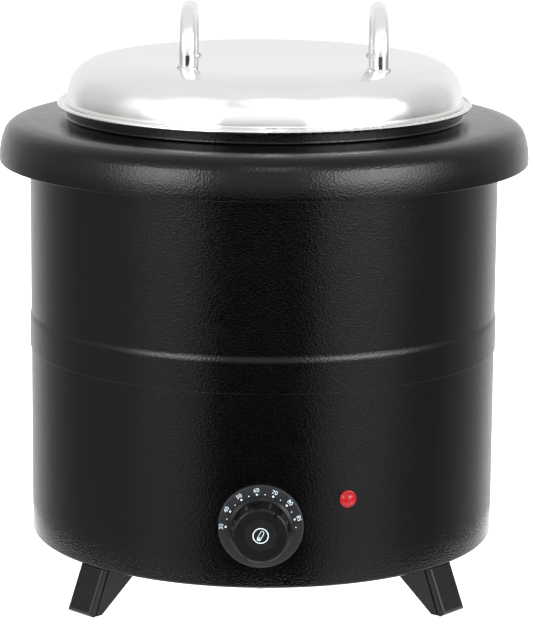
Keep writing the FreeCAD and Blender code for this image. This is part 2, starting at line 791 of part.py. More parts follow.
def make_heating():
    floor = size.well_floor
    spreader_z = floor - size.spreader_sheet
    rod = size.ring_rod / 2
    ring_z = spreader_z - rod - 0.05
    clamp_z = ring_z - rod - 0.05 - CLAMP_SHEET
    clamp_radius = size.ring_radius + 12
    disc = cylinder("spreader_disc", size.spreader_radius, size.spreader_sheet,
                    (0, 0, spreader_z))
    drills = [cylinder("spreader_eye", 13, 6, (0, 0, spreader_z - 1))]
    drills += [cylinder("spreader_hole", size.stud_radius + 0.2, 6,
                        polar(STUD_CIRCLE, angle, spreader_z - 1)) for angle in STUD_ANGLES]
    as_node(cut_by("spreader_drilled", disc, drills), "heat_spreader")

    clamp = cylinder("clamp_disc", clamp_radius, CLAMP_SHEET, (0, 0, clamp_z))
    drills = [cylinder("clamp_eye", 13, 6, (0, 0, clamp_z - 1))]
    drills += [cylinder("clamp_hole", size.stud_radius + 0.2, 6,
                        polar(STUD_CIRCLE, angle, clamp_z - 1)) for angle in STUD_ANGLES]
    drills += [cylinder("pin_hole", rod + 1.5, 6, (x, y, clamp_z - 1))
               for x, y in element_pins()]
    as_node(cut_by("clamp_drilled", clamp, drills), "element_clamp")

    studs = [cylinder("element_stud", size.stud_radius, 20,
                      polar(STUD_CIRCLE, angle, floor - 20)) for angle in STUD_ANGLES]
    as_node(grouped("element_stud_set", studs), "element_studs")
    nuts = [hex_nut("element_nut", polar(STUD_CIRCLE, angle, clamp_z - 4.0))
            for angle in STUD_ANGLES]
    as_node(grouped("element_nut_set", nuts), "element_nuts")

    # the ring lies flat with its gap at the rear; each end bends down into a cold pin
    reach = size.ring_radius.value
    half_gap = (360 - size.ring_sweep.value) / 2
    ring = doc.addObject("Part::Torus", "element_ring")
    bind(ring, "Radius1", size.ring_radius)
    bind(ring, "Radius2", size.ring_rod / 2)
    ring.Angle3 = size.ring_sweep.value
    ring.Placement = FreeCAD.Placement(
        Vector(0, 0, ring_z.value), Rotation(AXIS_Z, 90 + half_gap))
    pieces = [ring]
    for side in (1, -1):
        end_angle = math.radians(90 - side * half_gap)
        end = Vector(reach * math.cos(end_angle), reach * math.sin(end_angle), ring_z.value)
        onward = Vector(-math.sin(end_angle), math.cos(end_angle), 0) * side
        bend = doc.addObject("Part::Torus", "element_bend")
        bend.Radius1 = PIN_BEND
        bind(bend, "Radius2", size.ring_rod / 2)
        bend.Angle3 = 90
        # the quarter turn starts at the ring's end face: its local X is up, its local Y onward
        put(bend, end - AXIS_Z * PIN_BEND,
            Rotation(AXIS_Z, onward, AXIS_Z.cross(onward), "XYZ"))
        foot = end + onward * PIN_BEND - AXIS_Z * (PIN_BEND + PIN_LENGTH)
        pin = cylinder("element_pin", size.ring_rod / 2, PIN_LENGTH, foot)
        pieces += [bend, pin]
    as_node(fused("element_bent", pieces), "heating_element")


def element_pins():
    """Where the two cold pins come down, (x, y), right one first."""
    reach = size.ring_radius.value
    half_gap = (360 - size.ring_sweep.value) / 2
    places = []
    for side in (1, -1):
        angle = math.radians(90 - side * half_gap)
        end = Vector(reach * math.cos(angle), reach * math.sin(angle), 0)
        onward = Vector(-math.sin(angle), math.cos(angle), 0) * side
        foot = end + onward * PIN_BEND
        places.append((foot.x, foot.y))
    return places


def hex_nut(name, base, across=8.0, height=4.0, bore=2.6):
    prism = doc.addObject("Part::Prism", name + "_hex")
    prism.Polygon = 6
    prism.Circumradius = across / math.sqrt(3)
    prism.Height = height
    place(prism, base)
    hole = cylinder(name + "_bore", bore, height + 2,
                    (base[0], base[1], length(base[2]) - 1))
    return cut_by(name, prism, [hole])


def make_safety_cutout():
    """Dry-boil cut-out: a disc thermostat held on the well's floor inside the spreader."""
    floor = size.well_floor
    body = cylinder("cutout_can", 8, 11, (0, 0, floor - 12))
    flange = cylinder("cutout_flange", 11.5, 1, (0, 0, floor - 1))
    tabs = [block("cutout_tab", (0.8, 6.3, 9), (x, -3.15, floor - 20)) for x in (-5, 4.2)]
    as_node(fused("cutout_built", [body, flange, *tabs]), "safety_cutout")


# ---------------------------------------------------------------- control

def facing(item, ahead, across=0.0, height=None):
    """Turns +Z to the front (-Y) and puts the object's origin ahead of the casing."""
    height = size.dial_height if height is None else height
    base = (across, -(size.casing_radius + ahead), height)
    return place(item, base, AXIS_X, 90)


def make_thermostat():
    depth = 28
    face = length(THERMOSTAT_FACE)
    centre = size.dial_height
    can = block("thermostat_can", (24, depth, 34), (-12, -face, centre - 17))
    bushing = cylinder("thermostat_bushing", 5, 6.5, (0, -face, centre), AXIS_X, 90)
    tabs = [block("thermostat_tab", (6.3, 8, 0.8), (-3.15, depth - face, centre + rise))
            for rise in (-10, 6)]
    joined = fused("thermostat_joined", [can, bushing, *tabs])
    bore = cylinder("thermostat_bore", size.shaft_radius + size.shaft_play, 30,
                    (0, -(face - 22), centre), AXIS_X, 90)
    as_node(cut_by("thermostat_bored", joined, [bore]), "thermostat_body")

    plate = block("thermostat_sheet", (44, THERMOSTAT_PLATE, 30),
                  (-22, -(face + THERMOSTAT_PLATE), centre - 15))
    drills = [cylinder("plate_eye", 5.1, 6, (0, -(face - 2), centre), AXIS_X, 90)]
    drills += [cylinder("plate_thread", 1.95, 6, (DIAL_SCREW_X * side, -(face - 2), centre), AXIS_X, 90)
               for side in (-1, 1)]
    as_node(cut_by("plate_drilled", plate, drills), "thermostat_plate")

    screws = []
    for side in (-1, 1):
        shank = cylinder("dial_screw_shank", 1.9, 9, (DIAL_SCREW_X * side, -168, centre), AXIS_X, 90)
        head = cylinder("dial_screw_head", 3.6, 1.8, (DIAL_SCREW_X * side, -176.7, centre), AXIS_X, 90)
        screws.append(fused("dial_screw", [shank, head]))
    as_node(grouped("dial_screw_set", screws), "thermostat_screws")


def make_sensing():
    """The capillary from the thermostat and its bulb, clipped upright on the well's wall."""
    radius = size.well_radius + 3.2
    bulb = cylinder("bulb_rod", 3, 72, polar(radius, BULB_ANGLE, 182))
    as_node(bulb, "thermostat_bulb")
    foot = polar(radius, BULB_ANGLE, 182)
    x, y = foot[0].value, foot[1].value
    capillary = tube_along("capillary_tube", [
        (6, -158, size.dial_height.value + 17), (6, -158, 112), (38, -152, 134),
        (x, y, 152), (x, y, 182)], 1.6, 8)
    as_node(capillary, "thermostat_capillary")
    strap = block("clip_strap", (26, 7, 14))
    saddle = cylinder("clip_saddle", 3.1, 20)
    turn = Rotation(AXIS_Z, BULB_ANGLE)
    outward = turn.multVec(Vector(0, -1, 0))
    middle = outward * radius.value + AXIS_Z * 218
    across = turn.multVec(AXIS_X)
    put(strap, middle - across * 13 + outward * 4.6 - AXIS_Z * 7, turn)
    put(saddle, middle - AXIS_Z * 10, turn)
    keep_out = cylinder("clip_well_clearance", size.well_radius + 0.05, 40, (0, 0, 200))
    as_node(cut_by("clip_formed", strap, [saddle, keep_out]), "bulb_clip")


def make_dial_plate():
    """Moulded plate, flat in front and hollowed at the back to the casing's curve."""
    front = size.dial_front
    radius = size.dial_radius
    disc = turned("dial_moulding", [
        (7.2, -8), (radius, -8), (radius, front - 1, 1), (radius - 1, front), (7.2, front)])
    facing(disc, 0, 0, size.dial_height + size.dial_rise)
    casing = cylinder("dial_casing_curve", size.casing_radius + 0.05, 90,
                      (0, 0, size.dial_height - 45))
    pockets = [facing(cylinder("dial_screw_pocket", 4.4, 12.6), -10.6, DIAL_SCREW_X * side)
               for side in (-1, 1)]
    as_node(cut_by("dial_formed", disc, [casing, *pockets]), "dial_plate")


def make_knob():
    """Hollow moulded knob with eight finger flutes; local +Z is the front."""
    front = size.knob_front
    grip = size.knob_grip
    shaft = size.shaft_radius + 0.04
    body = turned("knob_moulding", [
        (shaft, 6.5),
        (6.5, 6.5),
        (6.5, 14),
        (17, 14),
        (17, KNOB_BACK),
        (size.knob_radius - 0.8, KNOB_BACK, 0.8),
        (size.knob_radius, KNOB_BACK + 0.8),
        (size.knob_radius, 5.2),
        (grip, 6.8),
        (grip - 1.2, front - 2.4, 2.4),
        (grip - 3.6, front),
        (KNOB_CAP_RADIUS + 0.1, front),
        (KNOB_CAP_RADIUS + 0.1, front - 1.2),
        (0, front - 1.2),
        (0, 19),
        (shaft, 19),
    ])
    doc.recompute()
    before = body.Shape.Volume
    flute = new_sketch(body, "knob_flute_outline", "XY_Plane", lift=6.8)
    circle_in(flute, 0, size.knob_grip + 4.6, size.knob_flute)
    pocket = body.newObject("PartDesign::Pocket", "knob_flute")
    pocket.Profile = flute
    pocket.Type = "Length"
    pocket.Length = 30
    pocket.Reversed = True
    body.Tip = pocket
    doc.recompute()
    if pocket.Shape.Volume >= before:
        raise RuntimeError("the flute cuts nothing")
    flutes = body.newObject("PartDesign::PolarPattern", "knob_flutes")
    flutes.Originals = [pocket]
    flutes.Axis = (flute, ["N_Axis"])
    flutes.Angle = 360
    flutes.Occurrences = 8
    body.Tip = flutes
    turn = Rotation(AXIS_X, 90) * Rotation(AXIS_Z, KNOB_POINTER)
    put(body, (0, -size.casing_radius, size.dial_height), turn)
    notch = block("knob_pointer_notch", (KNOB_NOTCH, 12, 8))
    corner = turn.multVec(Vector(-KNOB_NOTCH / 2, grip.value - 5.4, front.value - 3.4))
    put(notch, corner + Vector(0, -size.casing_radius.value, size.dial_height.value), turn)
    as_node(cut_by("control_knob_notched", body, [notch]), "control_knob")

    cap = facing(cylinder("knob_cap_disc", KNOB_CAP_RADIUS, 0.9), front - 1.2)
    as_node(cap, "knob_cap")

    rod = facing(cylinder("shaft_rod", size.shaft_radius, 39.5), -21)
    flat = facing(block("shaft_flat", (8, 8, 20)), 6.5, -4, size.dial_height + 2.2)
    as_node(cut_by("shaft_milled", rod, [flat]), "thermostat_shaft")


def make_lamp():
    """Red neon indicator: domed lens, housing through the casing and a push-on clip."""
    angle = size.lamp_angle
    height = size.lamp_height
    radius = size.lamp_radius
    lens_radius = radius - 0.8
    low, high = 2.0, 4.4
    lens = turned("lamp_lens_moulding", [
        (0, 1.2), (lens_radius, 1.2),
        (lens_radius, low, dome_bend(lens_radius, length(high - low))), (0, high)])
    aim_outward(lens, size.casing_radius, angle, height)
    as_node(lens, "lamp_lens")
    bezel = turned("lamp_housing_moulding", [
        (0, -24), (4.2, -24), (4.2, -6), (5.0, -6), (5.0, 0.2), (radius + 0.4, 0.2),
        (radius + 0.4, 1.0, 0.9), (radius - 0.4, 1.9), (radius - 0.7, 1.9),
        (radius - 0.7, 1.1), (0, 1.1)])
    aim_outward(bezel, size.casing_radius, angle, height)
    tabs = []
    turn = Rotation(AXIS_Z, angle.value)
    for side in (-1, 1):
        corner = turn.multVec(Vector(2.4 * side - 0.4, -(size.casing_radius.value - 23.5),
                                     height.value - 2.4))
        tabs.append(put(block("lamp_tab", (0.8, 8, 4.8)), corner, turn))
    as_node(fused("lamp_housing_built", [bezel, *tabs]), "lamp_housing")
    clip = turned("lamp_clip_pressed", [
        (5.1, -2.6), (10, -3.6), (10, -2.8), (5.1, -1.8)])
    aim_outward(clip, size.casing_radius, angle, height)
    as_node(clip, "lamp_clip")


# ---------------------------------------------------------------- supply

def make_supply():
    base = plate_top
    body = block("terminal_moulding", (42, 20, 15), (-81, TERMINAL_Y - 10, base))
    wells = [cylinder("terminal_entry", 2.6, 24, (x, TERMINAL_Y - 12, base + 9), AXIS_X, -90)
             for x in (-70, -60, -50)]
    drills = [cylinder("terminal_bore", 1.8, 20, (x, TERMINAL_Y, base - 1))
              for x in TERMINAL_SCREW_X]
    as_node(cut_by("terminal_formed", body, [*wells, *drills]), "terminal_block")
    screws = []
    for x in TERMINAL_SCREW_X:
        shank = cylinder("terminal_screw_shank", 1.55, 19, (x, TERMINAL_Y, base - 3.5))
        head = cylinder("terminal_screw_head", 3.0, 1.8, (x, TERMINAL_Y, base + 15))
        screws.append(fused("terminal_screw", [shank, head]))
    as_node(grouped("terminal_screw_set", screws), "terminal_screws")

    stud = cylinder("earth_rod", size.stud_radius, 17, (EARTH_X, EARTH_Y, plate_low - 1.4))
    head = cylinder("earth_head", 4.5, 1.4, (EARTH_X, EARTH_Y, plate_low - 1.4))
    as_node(fused("earth_bolt", [stud, head]), "earth_stud")
    nuts = [hex_nut("earth_nut", (length(EARTH_X), length(EARTH_Y), base + rise))
            for rise in (0, 6)]
    as_node(grouped("earth_nut_set", nuts), "earth_nuts")

    gland = turned("gland_moulding", [
        (size.gland_bore, -14), (7.9, -14), (7.9, 0.1), (11, 0.1), (11, 5.5), (9.6, 6.5),
        (9.6, 12, 1.6), (8, 13.6), (size.gland_bore, 13.6)])
    aim_outward(gland, size.casing_radius, 180, size.gland_height)
    as_node(gland, "cord_gland")
    nut = turned("gland_nut_moulding", [(8.0, -6.5), (12, -6.5), (12, -1.2), (8.0, -1.2)])
    aim_outward(nut, size.casing_radius, 180, size.gland_height)
    as_node(nut, "gland_nut")


def make_wires():
    right_pin, left_pin = element_pins()
    ring_z = size.well_floor - size.spreader_sheet - size.ring_rod / 2
    pin_low = ring_z.value - 0.05 - PIN_BEND - PIN_LENGTH
    stand = plate_top.value + 9
    low_tab = size.dial_height.value - 10.2
    high_tab = size.dial_height.value + 6.7
    routes = {
        "live_wire": [(-70, TERMINAL_Y - 10.5, stand), (-70, 84, stand), (-74, 40, 58),
                      (-66, -60, 58), (-20, -112, low_tab), (0, -126, low_tab),
                      (0, -135.6, low_tab)],
        "control_wire": [(0, -135.6, high_tab), (0, -118, high_tab), (-3, -70, 94),
                         (-4.6, -26, 100), (-4.6, 0, 108), (-4.6, 0, 120)],
        "element_live_wire": [(4.6, 0, 120), (4.6, 0, 104), (14, 34, 88),
                              (right_pin[0], right_pin[1], 84),
                              (right_pin[0], right_pin[1], pin_low)],
        "element_neutral_wire": [(-50, TERMINAL_Y - 10.5, stand), (-50, 92, stand),
                                 (-40, 76, 62), (left_pin[0], left_pin[1], 78),
                                 (left_pin[0], left_pin[1], pin_low)],
        "earth_wire": [(-60, TERMINAL_Y - 10.5, stand), (-60, 88, stand), (-30, 84, stand),
                       (10, 96, 43.6), (EARTH_X - 8, EARTH_Y - 10, 43.6)],
    }
    for name, route in routes.items():
        as_node(tube_along(name + "_run", route, WIRE, WIRE_BEND), name)
    turn = Rotation(AXIS_Z, size.lamp_angle.value)
    height = size.lamp_height.value
    inward = size.casing_radius.value - 24
    for side, name in ((-1, "lamp_live_wire"), (1, "lamp_neutral_wire")):
        start = turn.multVec(Vector(2.6 * side, -(inward - 9.6), 0)) + AXIS_Z * height
        away = turn.multVec(Vector(3.2 * side, -(inward - 34), 0)) + AXIS_Z * height
        if side < 0:
            route = [start, away, Vector(26, -86, 86), Vector(16, -112, low_tab + 4.5),
                     Vector(4.6, -130, low_tab + 4.5)]
        else:
            route = [start, away, Vector(74, -60, 72), Vector(60, 30, 66),
                     Vector(10, 50, 66), Vector(-46, 70, 70), Vector(-60, 98, 62),
                     Vector(-60, TERMINAL_Y - 3, 56), Vector(-60, TERMINAL_Y - 3, 51)]
        as_node(tube_along(name + "_run", [tuple(point) for point in route], 2.2, 7), name)


# ---------------------------------------------------------------- the kettle

make_lower_casing()
make_upper_casing()
make_top_collar()
make_collar_fixings()
make_base_plate()
make_feet()
make_water_well()
make_soup_pot()
lid_flat = make_lid()
make_lid_handles(lid_flat)
make_heating()
make_safety_cutout()
make_thermostat()
make_sensing()
make_dial_plate()
make_knob()
make_lamp()
make_supply()
make_wires()
doc.recompute()

for item in doc.Objects:
    faults = [state for state in item.State if state in ("Invalid", "Error")]
    if faults:
        raise RuntimeError(f"{item.Name} is {faults}")
for item in nodes:
    if item.Shape.isNull() or not item.Shape.isValid():
        raise RuntimeError(f"{item.Label} has no valid shape")

os.makedirs("parts", exist_ok=True)
for item in nodes:
    item.Shape.exportStep(f"parts/{item.Label}.step")
    print(f"{item.Label}: {len(item.Shape.Solids)} solid(s), {item.Shape.Volume:.0f} mm3")
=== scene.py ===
import json
import math

import bmesh
import bpy
from mathutils import Matrix, Vector


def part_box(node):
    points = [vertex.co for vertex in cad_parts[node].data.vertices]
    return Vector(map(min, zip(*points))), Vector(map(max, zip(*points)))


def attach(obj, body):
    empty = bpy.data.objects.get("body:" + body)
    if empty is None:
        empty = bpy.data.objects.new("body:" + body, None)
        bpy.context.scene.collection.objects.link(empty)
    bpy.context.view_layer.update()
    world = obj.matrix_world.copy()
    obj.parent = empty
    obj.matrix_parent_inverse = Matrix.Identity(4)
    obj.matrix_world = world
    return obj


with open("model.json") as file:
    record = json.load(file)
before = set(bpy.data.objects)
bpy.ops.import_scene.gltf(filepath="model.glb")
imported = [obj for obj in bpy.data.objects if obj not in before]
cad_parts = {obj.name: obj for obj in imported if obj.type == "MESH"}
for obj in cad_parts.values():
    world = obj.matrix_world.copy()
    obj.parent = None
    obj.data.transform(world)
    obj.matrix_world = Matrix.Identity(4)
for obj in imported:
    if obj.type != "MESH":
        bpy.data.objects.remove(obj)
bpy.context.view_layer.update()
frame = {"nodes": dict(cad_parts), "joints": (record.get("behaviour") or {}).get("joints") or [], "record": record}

# Soup kettle: black textured steel body, mirror-polished lid and pot rim, satin plastic control.
# Metres, +Z up, origin on the floor under the body's axis, the control knob faces -Y.

MM = 0.001
joints = {joint["name"]: joint for joint in frame["joints"]}
KNOB_AXIS = Vector(joints["knob_turn"]["pos_m"])
CAP_FACE_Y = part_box("knob_cap")[0].y
DIAL_FACE_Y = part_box("dial_plate")[0].y


# ---------------------------------------------------------------- node helpers

def math_node(nodes, links, kind, first, second=0.0):
    """One Math node; first and second are numbers or the sockets that feed it."""
    node = nodes.new("ShaderNodeMath")
    node.operation = kind
    for socket, value in zip(node.inputs, (first, second)):
        if isinstance(value, (int, float)):
            socket.default_value = value
        else:
            links.new(value, socket)
    return node.outputs["Value"]


class Finish:
    """One material under construction: a Principled shader and the nodes that feed it."""

    def __init__(self, name):
        self.material = bpy.data.materials.new(name)
        self.material.use_nodes = True
        tree = self.material.node_tree
        tree.nodes.clear()
        self.nodes = tree.nodes
        self.links = tree.links
        self.shader = self.nodes.new("ShaderNodeBsdfPrincipled")
        output = self.nodes.new("ShaderNodeOutputMaterial")
        self.links.new(self.shader.outputs["BSDF"], output.inputs["Surface"])
        self.place = self.nodes.new("ShaderNodeTexCoord").outputs["Object"]

    def set(self, **numbers):
        for name, number in numbers.items():
            self.shader.inputs[name.replace("_", " ")].default_value = number

    def stretched(self, x, y, z):
        mapping = self.nodes.new("ShaderNodeMapping")
        mapping.inputs["Scale"].default_value = (x, y, z)
        self.links.new(self.place, mapping.inputs["Vector"])
        return mapping.outputs["Vector"]

    def noise(self, scale, detail=2.0, where=None):
        texture = self.nodes.new("ShaderNodeTexNoise")
        texture.inputs["Scale"].default_value = scale
        texture.inputs["Detail"].default_value = detail
        self.links.new(where or self.place, texture.inputs["Vector"])
        return texture.outputs["Fac"]

    def cells(self, scale, smooth, where=None):
        texture = self.nodes.new("ShaderNodeTexVoronoi")
        texture.feature = "SMOOTH_F1"
        texture.inputs["Scale"].default_value = scale
        texture.inputs["Smoothness"].default_value = smooth
        self.links.new(where or self.place, texture.inputs["Vector"])
        return texture.outputs["Distance"]

    def math(self, kind, first, second):
        return math_node(self.nodes, self.links, kind, first, second)

    def span(self, value, low, high, start=0.0, end=1.0):
        """Runs from low to high while the value runs from start to end."""
        node = self.nodes.new("ShaderNodeMapRange")
        for name, number in (("From Min", start), ("From Max", end),
                             ("To Min", low), ("To Max", high)):
            node.inputs[name].default_value = number
        self.links.new(value, node.inputs["Value"])
        return node.outputs["Result"]

    def blend(self, value, first, second):
        node = self.nodes.new("ShaderNodeMix")
        node.data_type = "RGBA"
        node.inputs["A"].default_value = (*first, 1.0)
        node.inputs["B"].default_value = (*second, 1.0)
        self.links.new(value, node.inputs["Factor"])
        return node.outputs["Result"]

    def feed(self, name, value):
        self.links.new(value, self.shader.inputs[name])

    def bump(self, height, strength, distance):
        node = self.nodes.new("ShaderNodeBump")
        node.inputs["Strength"].default_value = strength
        node.inputs["Distance"].default_value = distance
        self.links.new(height, node.inputs["Height"])
        self.feed("Normal", node.outputs["Normal"])


# ---------------------------------------------------------------- finishes

# A noise texture seldom leaves this range.
NOISE_LOW, NOISE_HIGH = 0.3, 0.7


def textured_enamel():
    """Black stove enamel with a fine leathery skin, as on catering goods."""
    skin = Finish("textured_enamel")
    skin.set(Specular_IOR_Level=0.24, IOR=1.5)
    skin.feed("Base Color", skin.blend(skin.noise(9.0, 3.0),
                                       (0.0006, 0.0006, 0.0008), (0.0012, 0.0012, 0.0015)))
    skin.feed("Roughness", skin.span(skin.noise(60.0, 4.0), 0.13, 0.19, NOISE_LOW, NOISE_HIGH))
    wrinkle = skin.cells(620.0, 0.6, skin.stretched(1.0, 1.0, 1.35))
    grain = skin.noise(900.0, 3.0)
    height = skin.math("ADD", wrinkle, skin.math("MULTIPLY", grain, 0.35))
    skin.bump(height, 1.0, 0.13 * MM)
    return skin.material


def polished_steel():
    """Mirror-polished stainless steel with faint turned lines."""
    skin = Finish("polished_steel")
    skin.set(Metallic=1.0)
    skin.feed("Base Color", skin.blend(skin.noise(14.0, 3.0),
                                       (0.825, 0.83, 0.815), (0.875, 0.88, 0.865)))
    skin.feed("Roughness", skin.span(skin.noise(45.0, 4.0), 0.09, 0.15, NOISE_LOW, NOISE_HIGH))
    smear = skin.noise(160.0, 5.0, skin.stretched(0.15, 1.0, 1.0))
    skin.bump(smear, 0.03, 0.2 * MM)
    return skin.material


def brushed_metal(name, dark, pale, roughness, scale=700.0):
    """Metal with lines that run round upright surfaces."""
    skin = Finish(name)
    skin.set(Metallic=1.0)
    lines = skin.noise(scale, 4.0, skin.stretched(1.0, 1.0, 0.06))
    skin.feed("Base Color", skin.blend(lines, dark, pale))
    skin.feed("Roughness", skin.span(skin.noise(80.0, 3.0), *roughness, NOISE_LOW, NOISE_HIGH))
    skin.bump(lines, 0.08, 0.1 * MM)
    return skin.material


def moulded_plastic(name, dark, pale, roughness, gloss=0.5):
    """Plastic with a very fine grain from its mould."""
    skin = Finish(name)
    skin.set(Specular_IOR_Level=gloss)
    skin.feed("Base Color", skin.blend(skin.noise(40.0, 3.0), dark, pale))
    skin.feed("Roughness", skin.span(skin.noise(120.0, 3.0), *roughness, NOISE_LOW, NOISE_HIGH))
    skin.bump(skin.noise(1400.0, 2.0), 0.12, 0.08 * MM)
    return skin.material


def red_lens():
    """Deep red plastic with a faint faceting, as of a neon lamp that is off."""
    skin = Finish("red_lens")
    skin.set(Specular_IOR_Level=0.3, IOR=1.49)
    skin.feed("Roughness", skin.span(skin.noise(90.0, 2.0), 0.16, 0.24))
    skin.feed("Base Color", skin.blend(skin.noise(260.0, 2.0),
                                       (0.16, 0.001, 0.004), (0.36, 0.004, 0.008)))
    skin.bump(skin.cells(700.0, 0.2), 0.25, 0.3 * MM)
    return skin.material


def printed_white():
    """Slightly blue white ink."""
    skin = Finish("printed_white")
    skin.feed("Base Color", skin.blend(skin.noise(2500.0, 2.0),
                                       (0.42, 0.52, 0.58), (0.58, 0.68, 0.74)))
    skin.feed("Roughness", skin.span(skin.noise(900.0, 2.0), 0.45, 0.6))
    return skin.material


# slot: dark colour, pale colour, roughness from and to, and scale of the brushing where it is coarse
METALS = {
    "satin_steel": ((0.50, 0.50, 0.51), (0.66, 0.66, 0.67), (0.24, 0.34)),
    "plated_steel": ((0.52, 0.52, 0.50), (0.68, 0.68, 0.66), (0.28, 0.42), 300.0),
    "aluminium": ((0.70, 0.71, 0.72), (0.82, 0.83, 0.84), (0.28, 0.38)),
    "element_sheath": ((0.10, 0.095, 0.09), (0.24, 0.22, 0.20), (0.45, 0.6), 90.0),
    "copper": ((0.62, 0.34, 0.22), (0.80, 0.46, 0.31), (0.24, 0.36), 120.0),
}
# slot: dark colour, pale colour, roughness from and to, and gloss where it is low
PLASTICS = {
    "black_plastic": ((0.0035, 0.0035, 0.0040), (0.0055, 0.0055, 0.0060), (0.26, 0.34), 0.16),
    "dial_plastic": ((0.0085, 0.0088, 0.0105), (0.0125, 0.0130, 0.0150), (0.42, 0.52), 0.28),
    "white_plastic": ((0.66, 0.64, 0.58), (0.78, 0.76, 0.70), (0.30, 0.42)),
    "wire_brown": ((0.13, 0.05, 0.02), (0.19, 0.08, 0.035), (0.4, 0.5)),
    "wire_blue": ((0.03, 0.11, 0.36), (0.05, 0.16, 0.46), (0.4, 0.5)),
    "wire_green": ((0.12, 0.34, 0.04), (0.52, 0.56, 0.05), (0.4, 0.5)),
}
FINISHES = {
    "body_paint": textured_enamel(),
    "polished_steel": polished_steel(),
    "lens_red": red_lens(),
}
for name, look in METALS.items():
    FINISHES[name] = brushed_metal(name, *look)
for name, look in PLASTICS.items():
    FINISHES[name] = moulded_plastic(name, *look)
PRINT = printed_white()

# The knob's disc is moulded with the knob, only a little duller.
KNOB_DISC = moulded_plastic("knob_disc", (0.0045, 0.0045, 0.0050), (0.0065, 0.0065, 0.0070),
                            (0.34, 0.42), 0.20)

for row in frame["record"]["subparts"]:
    for place in frame["nodes"][row["node"]].material_slots:
        place.material = FINISHES[row["material_slot"]]
frame["nodes"]["knob_cap"].material_slots[0].material = KNOB_DISC


# ---------------------------------------------------------------- making pieces

# Turns a shape that is made lying flat so that it faces the front.
FACING = math.radians(90)


def nothing_selected():
    if bpy.context.object and bpy.context.object.mode != "OBJECT":
        bpy.ops.object.mode_set(mode="OBJECT")
    bpy.ops.object.select_all(action="DESELECT")


def select_only(piece):
    nothing_selected()
    piece.select_set(True)
    bpy.context.view_layer.objects.active = piece


def placed(piece):
    """Puts an object's place into its mesh."""
    select_only(piece)
    bpy.ops.object.transform_apply(location=True, rotation=True, scale=True)
    return piece


def finished(piece, name, finish, body, angle=40.0):
    select_only(piece)
    bpy.ops.object.shade_smooth_by_angle(angle=math.radians(angle))
    piece.name = name
    piece.data.name = name
    piece.data.materials.clear()
    piece.data.materials.append(finish)
    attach(piece, body)


def joined(pieces):
    nothing_selected()
    for piece in pieces:
        piece.select_set(True)
    bpy.context.view_layer.objects.active = pieces[0]
    bpy.ops.object.join()
    return bpy.context.object


def turned_by(angle, along):
    """Step at an angle clockwise from upright, seen from the front."""
    turn = math.radians(angle)
    return Vector((along * math.sin(turn), 0.0, along * math.cos(turn)))


# ---------------------------------------------------------------- print on the dial

PRINT_RISE = 0.03 * MM
DOT_DEPTH = 0.08 * MM
DOT_BEVEL = 0.03 * MM
DIAL_MIDDLE = Vector((KNOB_AXIS.x, DIAL_FACE_Y - PRINT_RISE, KNOB_AXIS.z))

# Angles are degrees clockwise from the top.
FIRST_DOT = -87.8
DOT_STEP = 13.5
DOT_COUNT = 14
DOT_CIRCLE = 25.2 * MM
NUMBER_DOT = 0.78 * MM
PLAIN_DOT = 0.45 * MM
NUMBERS = {0: "30", 2: "40", 4: "50", 6: "60", 8: "70", 10: "80", 12: "85"}
NUMBER_CIRCLE = 28.3 * MM
NUMBER_HEIGHT = 3.0 * MM
# Height of a figure as a share of its font's size, and the gap between figures.
FIGURE_SHARE = 0.72
FIGURE_GAP = 1.05


def print_text(words, angle):
    """Raised print of one number, standing on a circle round the knob."""
    nothing_selected()
    bpy.ops.object.text_add()
    text = bpy.context.object
    text.data.body = words
    text.data.align_x = "CENTER"
    text.data.align_y = "CENTER"
    text.data.size = NUMBER_HEIGHT / FIGURE_SHARE
    text.data.space_character = FIGURE_GAP
    text.data.extrude = PRINT_RISE
    text.rotation_euler = (FACING, math.radians(angle), 0.0)
    text.location = DIAL_MIDDLE + turned_by(angle, NUMBER_CIRCLE)
    bpy.ops.object.convert(target="MESH")
    return placed(bpy.context.object)


def print_dot(size, where):
    """Raised printed dot with a bevelled edge."""
    nothing_selected()
    bpy.ops.mesh.primitive_cylinder_add(vertices=20, radius=size, depth=DOT_DEPTH,
                                        location=where, rotation=(FACING, 0.0, 0.0))
    bpy.ops.object.mode_set(mode="EDIT")
    bpy.ops.mesh.select_all(action="SELECT")
    bpy.ops.mesh.bevel(offset=DOT_BEVEL, segments=1)
    bpy.ops.object.mode_set(mode="OBJECT")
    return placed(bpy.context.object)


dots = [print_dot(NUMBER_DOT if index in NUMBERS else PLAIN_DOT,
                  DIAL_MIDDLE + turned_by(FIRST_DOT + DOT_STEP * index, DOT_CIRCLE))
        for index in range(DOT_COUNT)]
finished(joined(dots), "dial_dots", PRINT, "body")
labels = [print_text(words, FIRST_DOT + DOT_STEP * index) for index, words in NUMBERS.items()]
finished(joined(labels), "dial_numbers", PRINT, "body")


# ---------------------------------------------------------------- print on the knob

MARK_MIDDLE = Vector((KNOB_AXIS.x, CAP_FACE_Y - 0.02 * MM, KNOB_AXIS.z))
MARK_LEAN = 28
RING_RADIUS = 5.4 * MM
RING_LINE = 0.30 * MM
# The ring's line is flattened to this share of its depth.
RING_FLATTEN = 0.15
TUBE_OUTSIDE = 1.45 * MM
TUBE_INSIDE = 1.05 * MM
TUBE_REACH = 5.0 * MM
TUBE_LOW = -2.6 * MM
# size and place along the tube of the bulb's dot and of the dot above it
TUBE_DOTS = ((0.62 * MM, -2.7 * MM), (0.34 * MM, -1.4 * MM))


